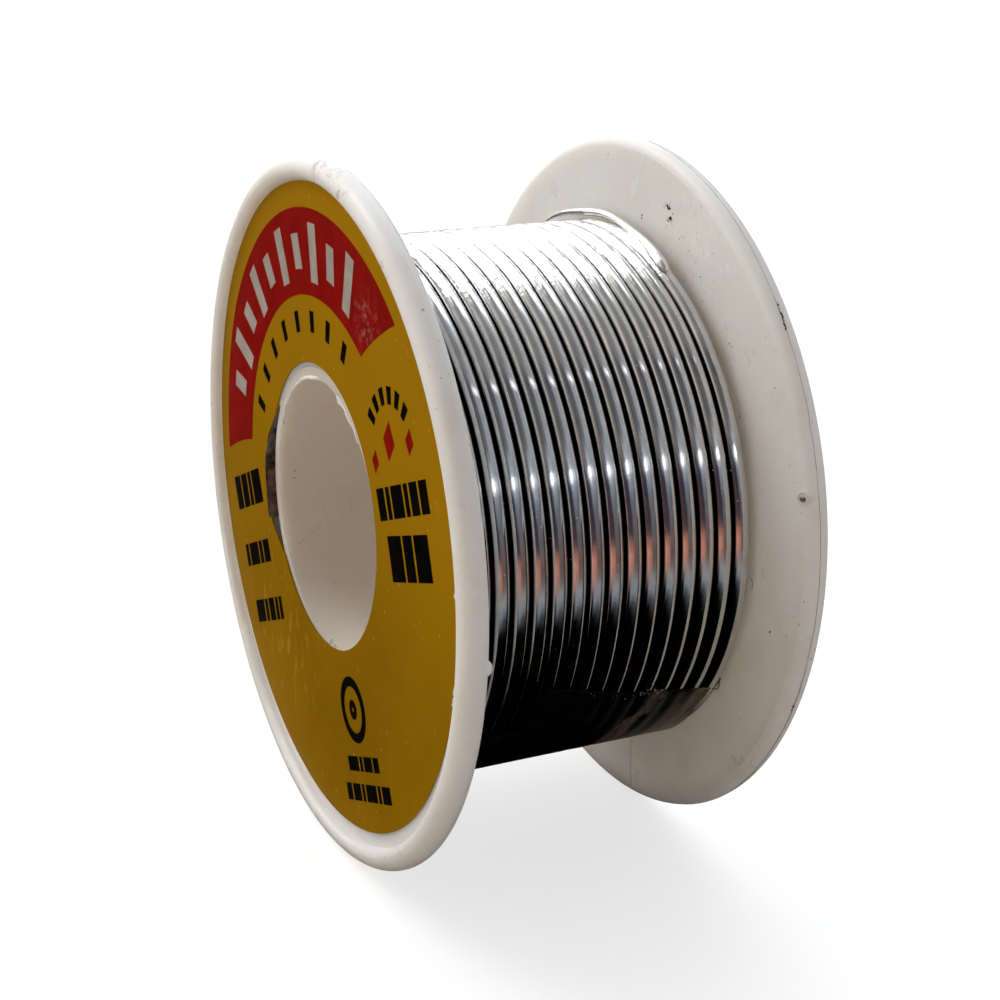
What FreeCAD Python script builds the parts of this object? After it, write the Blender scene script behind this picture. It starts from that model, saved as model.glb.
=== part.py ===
import FreeCAD, Part
import math
import os

import Sketcher

# Solder wire spool: two flanges on a double-walled hub, a ring label, a two-layer winding of
# flux-cored wire and the clear film that holds it. Units are millimetres. The spool's axis is +Y,
# the labelled face looks toward -Y, +Z is up, and the origin is the middle of the bore. A clock
# angle is measured in the XZ plane, from +X toward +Z, in degrees.

# Driving dimensions, each written once and read everywhere else from the sheet.
SIZES = [
    ("flange_radius", 28.5, "outside of the rim"),
    ("channel_width", 25.15, "between the inner faces of the flanges"),
    ("disc_thickness", 1.15, "flange disc, inner face to recess floor"),
    ("rim_inner_round", 0.85, "round on the channel side of the rim"),
    ("rim_outer_round", 1.25, "round on the outer side of the rim"),
    ("rim_crest_round", 0.6, "round from the rim's crest into the recess"),
    ("gate_nub_radius", 0.65, "moulding gate left on the rim"),
    ("gate_nub_height", 0.3, "how far the nub stands out of the rim's round"),
    ("gate_nub_lean", 20.0, "angle of the nub's direction off the spool's axis"),
    ("front_gate_clock", -5.4, "clock angle of the front flange's nub"),
    ("rear_gate_clock", 12.0, "clock angle of the rear flange's nub"),
    ("slot_from_gate", 172.6, "wire slot's middle, angle from the nub in each moulding"),
    ("slot_span", 70.0, "wire slot's angle round the bore"),
    ("bore_radius", 11.1, "bore for the spindle"),
    ("bore_wall", 0.9, "wall of the bore tube"),
    ("seat_gap", 0.05, "clearance where the hub seats in a flange"),
    ("boss_height", 1.0, "ring on the flange that centres the drum"),
    ("boss_wall", 1.0, "wall of that ring"),
    ("drum_radius", 19.0, "outside of the drum that carries the wire"),
    ("drum_wall", 1.4, "wall of the drum"),
    ("web_thickness", 1.2, "disc that joins tube and drum at half length"),
    ("rib_count", 6.0, "ribs between tube and drum"),
    ("rib_thickness", 1.0, "thickness of a rib"),
    ("rib_setback", 2.5, "rib's end to the flange's inner face"),
    ("rib_clock", 30.0, "clock angle of the first rib"),
    ("weld_depth", 0.3, "how far ribs and ramp run into the wall they grow from"),
    ("wire_diameter", 1.5, "solder wire"),
    ("flux_ratio", 0.38, "flux core diameter over wire diameter"),
    ("wire_clearance", 0.05, "gap between wire and what it lies against"),
    ("turn_slack", 0.033, "room from one real turn to the next"),
    ("turn_gap", 0.43, "gap left between drawn turns"),
    ("rear_turn_room", 0.756, "wire's middle to the flange at the layer's rear end"),
    ("front_turn_room", 0.848, "wire's middle to the flange at the layer's front end"),
    ("layer_start_clock", -75.0, "clock angle where the outer layer climbs up"),
    ("layer_end_gap", 0.1, "inner layer's end to the flange"),
    ("climb_span", 35.0, "angle of the ramp under the climbing wire"),
    ("tail_exit_clock", 118.0, "clock angle where the wire passes through the drum"),
    ("tail_exit_depth", 1.05, "wire's middle behind the flange's inner face there"),
    ("tail_low_clock", 148.0, "clock angle where the tail begins to rise to the slot"),
    ("tail_high_clock", 175.0, "clock angle where the tail has risen into the slot"),
    ("tail_end_clock", 190.0, "clock angle where the tail's straight end begins"),
    ("tail_sink", 0.175, "wire's middle below the recess floor, in the slot"),
    ("label_edge_room", 0.55, "recess radius less label radius"),
    ("label_hole_room", 0.54, "label's hole radius less bore radius"),
    ("label_thickness", 0.1, "label stock"),
    ("label_across", -0.35, "label's middle off the axis, along X"),
    ("label_up", 0.2, "label's middle off the axis, along Z"),
    ("label_hole_across", -0.5, "label hole's middle off the axis, along X"),
    ("label_hole_up", 0.62, "label hole's middle off the axis, along Z"),
    ("label_notch_start", 160.0, "clock angle where the label is open for the tail"),
    ("label_notch_span", 44.0, "angle that the label leaves free for the tail"),
    ("film_gap", 0.05, "film's inside off the turns' crests"),
    ("film_thickness", 0.1, "clear film, all its layers together"),
    ("film_end_gap", 0.25, "film's edge to the flange"),
    ("film_edge_clock", -30.5, "clock angle of the film's cut end"),
    ("film_open_span", 92.0, "angle above that end that the loose film leaves open"),
]

# Values that follow from the driving ones, each a formula on the sheet.
DERIVED = [
    ("inner_face", "channel_width / 2"),
    ("floor_face", "inner_face + disc_thickness"),
    ("rim_middle", "inner_face + rim_inner_round"),
    ("crest_face", "rim_middle + rim_outer_round"),
    ("crest_start", "crest_face - rim_crest_round"),
    ("crest_radius", "flange_radius - rim_outer_round"),
    ("recess_radius", "crest_radius - rim_crest_round"),
    ("round_radius", "flange_radius - rim_inner_round"),
    ("tube_radius", "bore_radius + bore_wall"),
    ("hole_radius", "tube_radius + seat_gap"),
    ("slot_inside", "tube_radius - bore_wall / 2"),
    ("tail_radius", "tube_radius + 2 * wire_clearance + wire_diameter / 2"),
    ("slot_outside", "tail_radius + wire_diameter / 2 + 3 * wire_clearance"),
    ("slot_turn", "90 - slot_from_gate"),
    ("slot_cut_low", "inner_face - boss_height"),
    ("slot_cut_high", "floor_face + disc_thickness"),
    ("drum_inside", "drum_radius - drum_wall"),
    ("boss_outside", "drum_inside - seat_gap"),
    ("boss_inside", "boss_outside - boss_wall"),
    ("boss_face", "inner_face - boss_height"),
    ("nub_reach", "rim_inner_round + gate_nub_height - gate_nub_radius"),
    ("nub_place", "rim_middle - nub_reach * cos(gate_nub_lean * 1 deg)"),
    ("nub_centre_radius", "round_radius + nub_reach * sin(gate_nub_lean * 1 deg)"),
    ("web_half", "web_thickness / 2"),
    ("rib_half", "rib_thickness / 2"),
    ("rib_root", "tube_radius - weld_depth"),
    ("rib_tip", "drum_inside + weld_depth"),
    ("rib_length", "channel_width - 2 * rib_setback"),
    ("exit_half", "wire_diameter / 2 + 2 * wire_clearance"),
    ("exit_depth", "tail_exit_depth + exit_half"),
    ("exit_from_gate", "front_gate_clock - tail_exit_clock"),
    ("exit_boss_inside", "boss_inside - weld_depth"),
    ("exit_boss_outside", "boss_outside + weld_depth"),
    ("exit_drum_inside", "drum_inside - weld_depth"),
    ("exit_drum_outside", "drum_radius + weld_depth"),
    ("turn_pitch", "wire_diameter + turn_slack"),
    ("drawn_wire", "turn_pitch - turn_gap"),
    ("layer_step", "sqrt(wire_diameter * wire_diameter - turn_pitch * turn_pitch / 4)"),
    ("winding_radius", "drum_radius + wire_diameter + layer_step"),
    ("layer_path_radius", "winding_radius - drawn_wire / 2"),
    ("layer_start_place", "inner_face - rear_turn_room"),
    ("layer_width", "channel_width - rear_turn_room - front_turn_room"),
    ("layer_turns", "layer_width / turn_pitch"),
    ("core_radius", "winding_radius - drawn_wire - wire_clearance"),
    ("core_inside", "drum_radius + wire_clearance"),
    ("core_end", "inner_face - layer_end_gap"),
    ("ramp_face", "layer_start_place + drawn_wire / 2"),
    ("ramp_foot_radius", "core_radius - weld_depth"),
    ("ramp_low_clock", "layer_start_clock - climb_span"),
    ("ramp_foot_x", "ramp_foot_radius * cos(ramp_low_clock * 1 deg)"),
    ("ramp_foot_z", "ramp_foot_radius * sin(ramp_low_clock * 1 deg)"),
    ("start_cos", "cos(layer_start_clock * 1 deg)"),
    ("start_sin", "sin(layer_start_clock * 1 deg)"),
    ("ramp_stop", "drawn_wire + wire_clearance"),
    ("ramp_top_x", "winding_radius * start_cos + ramp_stop * start_sin"),
    ("ramp_top_z", "winding_radius * start_sin - ramp_stop * start_cos"),
    ("ramp_root_x", "ramp_foot_radius * start_cos + ramp_stop * start_sin"),
    ("ramp_root_z", "ramp_foot_radius * start_sin - ramp_stop * start_cos"),
    ("tail_place", "floor_face - tail_sink"),
    ("label_radius", "recess_radius - label_edge_room"),
    ("label_hole_radius", "bore_radius + label_hole_room"),
    ("label_notch_radius", "slot_outside + wire_clearance"),
    ("film_inside", "winding_radius + film_gap"),
    ("film_outside", "film_inside + film_thickness"),
    ("film_end", "inner_face - film_end_gap"),
    ("film_span", "360 - film_open_span"),
    ("film_turn", "90 - film_edge_clock + film_span / 2"),
]

# Spacing of the points on which the windings' own gap is measured.
GAP_STEP = 0.5


def make_sheet(doc):
    """Write the driving dimensions and the formulas to the sheet, one aliased cell each."""
    sheet = doc.addObject("Spreadsheet::Sheet", "sizes")
    row = 1
    for name, value, meaning in SIZES:
        write_row(sheet, row, name, "%g" % value)
        sheet.set("C%d" % row, meaning)
        row += 1
    for name, formula in DERIVED:
        write_row(sheet, row, name, "=" + formula)
        row += 1
    doc.recompute()


def write_row(sheet, row, name, content):
    """One line of the sheet: the name and its aliased value."""
    sheet.set("A%d" % row, name)
    sheet.set("B%d" % row, content)
    sheet.setAlias("B%d" % row, name)


def size(doc, name):
    """A value from the sheet as a plain number. A leading minus turns its sign."""
    if name.startswith("-"):
        return -size(doc, name[1:])
    return float(getattr(doc.sizes, name))


def bind(thing, prop, name):
    """Tie a property to a cell of the sheet. A leading minus turns its sign."""
    if name.startswith("-"):
        thing.setExpression(prop, "-sizes." + name[1:])
    else:
        thing.setExpression(prop, "sizes." + name)


def new_body(doc, label):
    """A body with its own label, which also names its file."""
    body = doc.addObject("PartDesign::Body", label)
    body.Label = label
    return body


def origin_part(body, role):
    """One of the body's own origin planes or axes, by its role."""
    for feature in body.Origin.OriginFeatures:
        if feature.Role == role:
            return feature
    raise ValueError(role)


def new_sketch(body, name, role, lift=None, turn=None, turn_axis=(0, 0, 1)):
    """A sketch on an origin plane, lifted off it and turned by amounts from the sheet."""
    sketch = body.newObject("Sketcher::SketchObject", name)
    sketch.AttachmentSupport = [(origin_part(body, role), "")]
    sketch.MapMode = "FlatFace"
    start = FreeCAD.Rotation(FreeCAD.Vector(*turn_axis), 1.0)
    sketch.AttachmentOffset = FreeCAD.Placement(FreeCAD.Vector(), start)
    if turn is None:
        sketch.AttachmentOffset = FreeCAD.Placement()
    else:
        bind(sketch, "AttachmentOffset.Rotation.Angle", turn)
    if lift is not None:
        bind(sketch, "AttachmentOffset.Base.z", lift)
    return sketch


def arc_between(start, end, radius):
    """The short arc that runs counterclockwise from start to end."""
    chord = end - start
    half = chord.Length / 2
    side = FreeCAD.Vector(-chord.y, chord.x, 0).normalize()
    centre = (start + end) / 2 + side * math.sqrt(max(radius * radius - half * half, 0))
    first = math.atan2(start.y - centre.y, start.x - centre.x)
    last = math.atan2(end.y - centre.y, end.x - centre.x)
    circle = Part.Circle(centre, FreeCAD.Vector(0, 0, 1), radius)
    return Part.ArcOfCircle(circle, first, last)


def add_outline(doc, sketch, corners):
    """A closed outline, counterclockwise. A corner is two cells for its place and, where an arc
    leaves it, a third for that arc's radius."""
    points = [FreeCAD.Vector(size(doc, c[0]), size(doc, c[1]), 0) for c in corners]
    count = len(corners)
    for i in range(count):
        start = points[i]
        end = points[(i + 1) % count]
        if len(corners[i]) == 3:
            sketch.addGeometry(arc_between(start, end, size(doc, corners[i][2])), False)
        else:
            sketch.addGeometry(Part.LineSegment(start, end), False)
    for i in range(count):
        sketch.addConstraint(Sketcher.Constraint("Coincident", i, 2, (i + 1) % count, 1))
    for i in range(count):
        hold(doc, sketch, "DistanceX", corners[i][0], i)
        hold(doc, sketch, "DistanceY", corners[i][1], i)
        if len(corners[i]) == 3:
            radius = Sketcher.Constraint("Radius", i, size(doc, corners[i][2]))
            bind(sketch, "Constraints[%d]" % sketch.addConstraint(radius), corners[i][2])


def hold(doc, sketch, kind, name, geometry):
    """Keep the start of a side at a coordinate from the sheet."""
    place = Sketcher.Constraint(kind, geometry, 1, size(doc, name))
    bind(sketch, "Constraints[%d]" % sketch.addConstraint(place), name)


def box_outline(left, right, low, high):
    """The four corners of a rectangle."""
    return [(left, low), (right, low), (right, high), (left, high)]


def turned(body, sketch, kind, name):
    """A sketch turned about its own horizontal axis, which lies on the spool's axis."""
    feature = body.newObject(kind, name)
    feature.Profile = sketch
    feature.ReferenceAxis = (sketch, ["H_Axis"])
    feature.Angle = 360
    return feature


def add_round(body, kind, name, radius, height):
    """A cylinder along the spool's axis, starting in the XZ plane of its own placement."""
    feature = body.newObject(kind, name)
    bind(feature, "Radius", radius)
    bind(feature, "Height", height)
    feature.Placement = FreeCAD.Placement(
        FreeCAD.Vector(), FreeCAD.Rotation(FreeCAD.Vector(1, 0, 0), 90))
    return feature


def check_cut(doc, body, before, name):
    """A cut has to take material away. A cut that points the wrong way takes none."""
    doc.recompute()
    if not body.Shape.Volume < before:
        raise RuntimeError(name + " cuts nothing")


def make_flange(doc, label):
    """One moulding, as the rear flange stands, with its gate nub at clock 0."""
    body = new_body(doc, label)
    profile = new_sketch(body, label + "_profile", "YZ_Plane")
    add_outline(doc, profile, [
        ("inner_face", "hole_radius"),
        ("floor_face", "hole_radius"),
        ("floor_face", "recess_radius"),
        ("crest_start", "recess_radius", "rim_crest_round"),
        ("crest_face", "crest_radius", "rim_outer_round"),
        ("rim_middle", "flange_radius", "rim_inner_round"),
        ("inner_face", "round_radius"),
        ("inner_face", "boss_outside"),
        ("boss_face", "boss_outside"),
        ("boss_face", "boss_inside"),
        ("inner_face", "boss_inside"),
    ])
    turned(body, profile, "PartDesign::Revolution", label + "_disc")
    nub = body.newObject("PartDesign::AdditiveSphere", label + "_gate_nub")
    bind(nub, "Radius", "gate_nub_radius")
    bind(nub, "Placement.Base.x", "nub_centre_radius")
    bind(nub, "Placement.Base.y", "nub_place")
    doc.recompute()
    before = body.Shape.Volume
    slot_section = new_sketch(
        body, label + "_slot_section", "YZ_Plane", turn="slot_turn", turn_axis=(1, 0, 0))
    add_outline(doc, slot_section,
                box_outline("slot_cut_low", "slot_cut_high", "slot_inside", "slot_outside"))
    slot = turned(body, slot_section, "PartDesign::Groove", label + "_wire_slot")
    slot.Midplane = True
    bind(slot, "Angle", "slot_span")
    check_cut(doc, body, before, label + " wire slot")
    before = body.Shape.Volume
    gap_section = new_sketch(
        body, label + "_boss_gap_section", "XZ_Plane", lift="-boss_face", turn="exit_from_gate")
    add_outline(doc, gap_section,
                box_outline("exit_boss_inside", "exit_boss_outside", "-exit_half", "exit_half"))
    gap = body.newObject("PartDesign::Pocket", label + "_boss_gap")
    gap.Profile = gap_section
    bind(gap, "Length", "boss_height")
    check_cut(doc, body, before, label + " boss gap")
    return body


def make_rear_flange(doc):
    """The moulding turned about the axis until its nub is at its clock angle."""
    body = make_flange(doc, "rear_flange")
    turn = FreeCAD.Rotation(FreeCAD.Vector(0, -1, 0), size(doc, "rear_gate_clock"))
    body.Placement = FreeCAD.Placement(FreeCAD.Vector(), turn)
    bind(body, "Placement.Rotation.Angle", "rear_gate_clock")


def make_front_flange(doc):
    """The same moulding turned end for end, which turns its clock angles round too."""
    body = make_flange(doc, "front_flange")
    end_for_end = FreeCAD.Rotation(FreeCAD.Vector(0, 0, 1), 180)
    turn = FreeCAD.Rotation(FreeCAD.Vector(0, -1, 0), size(doc, "front_gate_clock") - 180)
    body.Placement = FreeCAD.Placement(FreeCAD.Vector(), turn * end_for_end)


def make_hub(doc):
    """Bore tube and drum, joined by a web at half length and by ribs."""
    body = new_body(doc, "hub")
    profile = new_sketch(body, "hub_profile", "YZ_Plane")
    add_outline(doc, profile, [
        ("-floor_face", "bore_radius"),
        ("floor_face", "bore_radius"),
        ("floor_face", "tube_radius"),
        ("web_half", "tube_radius"),
        ("web_half", "drum_inside"),
        ("inner_face", "drum_inside"),
        ("inner_face", "drum_radius"),
        ("-inner_face", "drum_radius"),
        ("-inner_face", "drum_inside"),
        ("-web_half", "drum_inside"),
        ("-web_half", "tube_radius"),
        ("-floor_face", "tube_radius"),
    ])
    turned(body, profile, "PartDesign::Revolution", "hub_walls")
    rib_section = new_sketch(body, "hub_rib_section", "XZ_Plane", turn="rib_clock")
    add_outline(doc, rib_section, box_outline("rib_root", "rib_tip", "-rib_half", "rib_half"))
    rib = body.newObject("PartDesign::Pad", "hub_rib")
    rib.Profile = rib_section
    rib.Midplane = True
    bind(rib, "Length", "rib_length")
    doc.recompute()
    ribs = body.newObject("PartDesign::PolarPattern", "hub_ribs")
    ribs.Originals = [rib]
    ribs.Axis = (origin_part(body, "Y_Axis"), [""])
    ribs.Angle = 360
    bind(ribs, "Occurrences", "rib_count")
    body.Tip = ribs
    doc.recompute()
    before = body.Shape.Volume
    exit_section = new_sketch(
        body, "hub_wire_exit_section", "XZ_Plane", lift="inner_face", turn="tail_exit_clock")
    add_outline(doc, exit_section,
                box_outline("exit_drum_inside", "exit_drum_outside", "-exit_half", "exit_half"))
    wire_exit = body.newObject("PartDesign::Pocket", "hub_wire_exit")
    wire_exit.Profile = exit_section
    bind(wire_exit, "Length", "exit_depth")
    check_cut(doc, body, before, "hub wire exit")


def make_label(doc):
    """The ring label in the front recess, open where the wire tail lies."""
    body = new_body(doc, "front_label")
    sheet_disc = add_round(
        body, "PartDesign::AdditiveCylinder", "label_disc", "label_radius", "label_thickness")
    bind(sheet_disc, "Placement.Base.x", "label_across")
    bind(sheet_disc, "Placement.Base.z", "label_up")
    bind(sheet_disc, "Placement.Base.y", "-floor_face")
    doc.recompute()
    before = body.Shape.Volume
    hole = add_round(
        body, "PartDesign::SubtractiveCylinder", "label_hole", "label_hole_radius",
        "label_thickness")
    bind(hole, "Placement.Base.x", "label_hole_across")
    bind(hole, "Placement.Base.z", "label_hole_up")
    bind(hole, "Placement.Base.y", "-floor_face")
    check_cut(doc, body, before, "label hole")
    before = body.Shape.Volume
    notch = add_round(
        body, "PartDesign::SubtractiveCylinder", "label_notch", "label_notch_radius",
        "label_thickness")
    upright = FreeCAD.Rotation(FreeCAD.Vector(1, 0, 0), 90)
    turn = FreeCAD.Rotation(FreeCAD.Vector(0, -1, 0), size(doc, "label_notch_start"))
    notch.Placement = FreeCAD.Placement(FreeCAD.Vector(), turn * upright)
    bind(notch, "Angle", "label_notch_span")
    bind(notch, "Placement.Base.y", "-floor_face")
    check_cut(doc, body, before, "label notch")


def make_inner_layer(doc):
    """The lower layer as a plain ring, with the ramp on which the wire climbs to the outer one."""
    body = new_body(doc, "solder_inner_layer")
    section = new_sketch(body, "layer_section", "YZ_Plane")
    add_outline(doc, section, box_outline("-core_end", "core_end", "core_inside", "core_radius"))
    turned(body, section, "PartDesign::Revolution", "layer_ring")
    ramp_side = new_sketch(body, "layer_ramp_side", "XZ_Plane", lift="-ramp_face")
    add_outline(doc, ramp_side, [
        ("ramp_foot_x", "ramp_foot_z", "winding_radius"),
        ("ramp_top_x", "ramp_top_z"),
        ("ramp_root_x", "ramp_root_z"),
    ])
    ramp = body.newObject("PartDesign::Pad", "layer_ramp")
    ramp.Profile = ramp_side
    bind(ramp, "Length", "drawn_wire")


def make_film(doc):
    """The clear film as one thin sleeve round the turns, open where the turns lie in the light."""
    body = new_body(doc, "clear_film")
    section = new_sketch(
        body, "film_section", "YZ_Plane", turn="film_turn", turn_axis=(1, 0, 0))
    add_outline(doc, section, box_outline("-film_end", "film_end", "film_inside", "film_outside"))
    sleeve = turned(body, section, "PartDesign::Revolution", "film_sleeve")
    sleeve.Midplane = True
    bind(sleeve, "Angle", "film_span")


def clock_point(radius, clock, place):
    """A point at a radius and clock angle, at a place along the axis."""
    angle = math.radians(clock)
    return FreeCAD.Vector(radius * math.cos(angle), place, radius * math.sin(angle))


def arc_edge(start, corner, end):
    """The arc from start to end whose tangents meet in the corner."""
    middle = (start + end) / 2
    rise = corner - middle
    half = (end - start).Length / 2
    if rise.Length < 1e-6 * half:
        return Part.LineSegment(start, end).toShape()
    slope = math.atan2(rise.Length, half)
    top = middle + rise * (half * math.tan(slope / 2) / rise.Length)
    return Part.Arc(start, top, end).toShape()


def biarc(start, start_way, end, end_way):
    """Two arcs that leave along one direction, meet smoothly and arrive along another."""
    gap = end - start
    spread = 2 * (1 - start_way.dot(end_way))
    along = gap.dot(start_way + end_way)
    reach = (math.sqrt(along * along + spread * gap.dot(gap)) - along) / spread
    first = start + start_way * reach
    second = end - end_way * reach
    joint = (first + second) / 2
    return [arc_edge(start, first, joint), arc_edge(joint, second, end)]


def make_path(stations, run):
    """A wire path of biarcs through points and directions, with a straight run at each end."""
    first, first_way = stations[0]
    last, last_way = stations[-1]
    edges = [Part.LineSegment(first - first_way * run, first).toShape()]
    for (start, start_way), (end, end_way) in zip(stations, stations[1:]):
        edges += biarc(start, start_way, end, end_way)
    edges.append(Part.LineSegment(last, last + last_way * run).toShape())
    return Part.Wire(edges)


def pipe(path, way, radius):
    """A round solid along a path that starts in the given direction."""
    start = path.OrderedVertexes[0].Point
    ring = Part.Wire(Part.makeCircle(radius, start, way))
    return path.makePipeShell([ring], True, False)


def add_cored_wire(doc, wire_label, flux_label, stations, diameter):
    """The wire with its hollow, and the flux that fills the hollow, as two parts."""
    path = make_path(stations, diameter)
    way = stations[0][1]
    flux_radius = diameter * size(doc, "flux_ratio") / 2
    solid = pipe(path, way, diameter / 2)
    flux = pipe(path, way, flux_radius)
    report_tube(wire_label, path, solid, diameter)
    wire_part = doc.addObject("Part::Feature", wire_label)
    wire_part.Shape = solid.cut(flux)
    wire_part.Placement = FreeCAD.Placement()
    flux_part = doc.addObject("Part::Feature", flux_label)
    flux_part.Shape = flux
    flux_part.Placement = FreeCAD.Placement()
    return path


def report_tube(label, path, solid, diameter):
    """Print the tube's tightest radius and its volume against section times length."""
    radii = [edge.Curve.Radius for edge in path.Edges if hasattr(edge.Curve, "Radius")]
    ideal = math.pi * diameter * diameter / 4 * path.Length
    print("%s: length %.1f, radii %.2f to %.2f, volume %.2f of %.2f"
          % (label, path.Length, min(radii), max(radii), solid.Volume, ideal))


def own_gap(path, diameter, turn_length):
    """The least gap of a tube to itself, over points at least half a turn of path apart."""
    points = path.discretize(Distance=GAP_STEP)
    skip = int(turn_length / 2 / GAP_STEP)
    reach = int(turn_length * 2 / GAP_STEP)
    least = 1e9
    for i, point in enumerate(points):
        for other in points[i + skip:i + reach]:
            least = min(least, (point - other).Length)
    return least - diameter


def make_outer_layer(doc):
    """The visible turns: one wire from the ramp at the rear to its cut end at the front."""
    radius = size(doc, "layer_path_radius")
    pitch = size(doc, "turn_pitch")
    diameter = size(doc, "drawn_wire")
    start_clock = size(doc, "layer_start_clock")
    start_place = size(doc, "layer_start_place")
    turns = size(doc, "layer_turns")
    halves = int(math.ceil(turns * 2))
    stations = []
    for i in range(halves + 1):
        turned_by = turns * 360 * i / halves
        clock = start_clock + turned_by
        point = clock_point(radius, clock, start_place - pitch * turned_by / 360)
        way = clock_point(1, clock + 90, -pitch / (2 * math.pi * radius))
        stations.append((point, way.normalize()))
    path = add_cored_wire(doc, "solder_outer_layer", "outer_layer_flux", stations, diameter)
    gap = own_gap(path, diameter, 2 * math.pi * radius)
    print("solder_outer_layer: %.2f turns, least gap to itself %.3f" % (turns, gap))


def make_tail(doc):
    """The wire's start: in from the drum, round inside the hub, and up into the front slot."""
    diameter = size(doc, "wire_diameter")
    exit_clock = size(doc, "tail_exit_clock")
    exit_place = size(doc, "tail_exit_depth") - size(doc, "inner_face")
    slot_place = -size(doc, "tail_place")
    entry = clock_point(size(doc, "drum_radius") - diameter, exit_clock, exit_place)
    stations = [(entry, clock_point(-1, exit_clock, 0))]
    places = (("tail_low_clock", exit_place), ("tail_high_clock", slot_place),
              ("tail_end_clock", slot_place))
    for name, place in places:
        clock = size(doc, name)
        point = clock_point(size(doc, "tail_radius"), clock, place)
        stations.append((point, clock_point(1, clock + 90, 0)))
    add_cored_wire(doc, "solder_start_tail", "start_tail_flux", stations, diameter)


def parts_of(doc):
    """Every sub-part: the bodies and the shapes made in code."""
    kinds = ("PartDesign::Body", "Part::Feature")
    return [thing for thing in doc.Objects if thing.TypeId in kinds]


def check_document(doc):
    """Stop if an object failed to compute or a sub-part has no sound shape."""
    for thing in doc.Objects:
        if "Invalid" in thing.State or "Error" in thing.State:
            raise RuntimeError("%s: %s" % (thing.Name, thing.State))
    for part in parts_of(doc):
        if part.Shape.isNull() or not part.Shape.isValid():
            raise RuntimeError(part.Label + " has no valid shape")


def export_parts(doc):
    """Write one file for each sub-part."""
    os.makedirs("parts", exist_ok=True)
    for part in parts_of(doc):
        part.Shape.exportStep("parts/%s.step" % part.Label)
        print("%-20s solids %d, volume %9.2f" % (part.Label, len(part.Shape.Solids),
                                                 part.Shape.Volume))


def main():
    doc = FreeCAD.newDocument("solder_wire_spool")
    make_sheet(doc)
    make_front_flange(doc)
    make_rear_flange(doc)
    make_hub(doc)
    make_label(doc)
    make_inner_layer(doc)
    make_outer_layer(doc)
    make_tail(doc)
    make_film(doc)
    doc.recompute()
    check_document(doc)
    export_parts(doc)


main()
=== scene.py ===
"""Solder wire spool: the looks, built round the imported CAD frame.

Lengths in this script are millimetres until a mesh is made, which turns them into metres.
A clock angle is in degrees from +X toward +Z, as seen from the labelled front (-Y) side.
"""
import math
import random

import bpy
import numpy as np
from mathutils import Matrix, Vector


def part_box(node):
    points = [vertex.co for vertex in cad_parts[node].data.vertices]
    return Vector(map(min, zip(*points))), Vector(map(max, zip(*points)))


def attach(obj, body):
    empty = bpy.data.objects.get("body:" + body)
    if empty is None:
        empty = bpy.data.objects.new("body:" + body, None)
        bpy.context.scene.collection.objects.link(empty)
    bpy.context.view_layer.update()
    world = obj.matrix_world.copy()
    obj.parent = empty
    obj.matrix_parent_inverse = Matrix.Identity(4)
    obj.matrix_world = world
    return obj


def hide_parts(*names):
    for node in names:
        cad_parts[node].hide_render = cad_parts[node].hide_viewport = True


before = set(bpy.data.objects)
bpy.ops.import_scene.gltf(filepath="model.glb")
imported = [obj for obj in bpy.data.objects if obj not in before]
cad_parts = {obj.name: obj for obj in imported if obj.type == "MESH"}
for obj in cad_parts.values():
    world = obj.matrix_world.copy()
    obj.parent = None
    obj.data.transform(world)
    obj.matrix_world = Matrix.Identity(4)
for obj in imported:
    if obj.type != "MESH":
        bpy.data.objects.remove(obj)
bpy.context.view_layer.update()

MM = 0.001
DEGREES = 180 / math.pi
BODY = "root"
rng = random.Random(7)


# ------------ small maths

def wobble(seed, waves, lowest, highest):
    """A smooth random function of one number, made of sines, between -1 and 1."""
    r = random.Random(seed)
    terms = [(r.uniform(lowest, highest), r.uniform(0, 2 * math.pi), r.uniform(0.5, 1)) for _ in range(waves)]
    total = sum(t[2] for t in terms)
    return lambda x: sum(a * math.sin(f * x + p) for f, p, a in terms) / total


def smooth_step(low, high, x):
    t = min(1.0, max(0.0, (x - low) / (high - low)))
    return t * t * (3 - 2 * t)


def polar(radius, clock, y):
    a = math.radians(clock)
    return np.array([radius * math.cos(a), y, radius * math.sin(a)])


# ------------ mesh making

def mesh_object(name, points, faces, smooth=True):
    mesh = bpy.data.meshes.new(name)
    mesh.from_pydata([tuple(float(c) * MM for c in p) for p in points], [], faces)
    mesh.validate()
    mesh.shade_smooth() if smooth else mesh.shade_flat()
    mesh.update()
    obj = bpy.data.objects.new(name, mesh)
    bpy.context.scene.collection.objects.link(obj)
    return obj


def grid_faces(rows, cols, wrap_cols=False, start=0):
    faces = []
    for i in range(rows - 1):
        for j in range(cols if wrap_cols else cols - 1):
            a, b = start + i * cols + j, start + i * cols + (j + 1) % cols
            faces.append((a, a + cols, b + cols, b))
    return faces


def plate_faces(rows, cols, start=0):
    """Faces of a closed plate: a grid of points, a like grid behind it, and the rim between them."""
    half = rows * cols
    faces = grid_faces(rows, cols, start=start)
    faces += [tuple(reversed(f)) for f in grid_faces(rows, cols, start=start + half)]
    rim = [(0, j) for j in range(cols)] + [(i, cols - 1) for i in range(1, rows)]
    rim += [(rows - 1, j) for j in range(cols - 2, -1, -1)] + [(i, 0) for i in range(rows - 2, 0, -1)]
    for (i, j), (i2, j2) in zip(rim, rim[1:] + rim[:1]):
        a, b = start + i * cols + j, start + i2 * cols + j2
        faces.append((a, b, b + half, a + half))
    return faces


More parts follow.
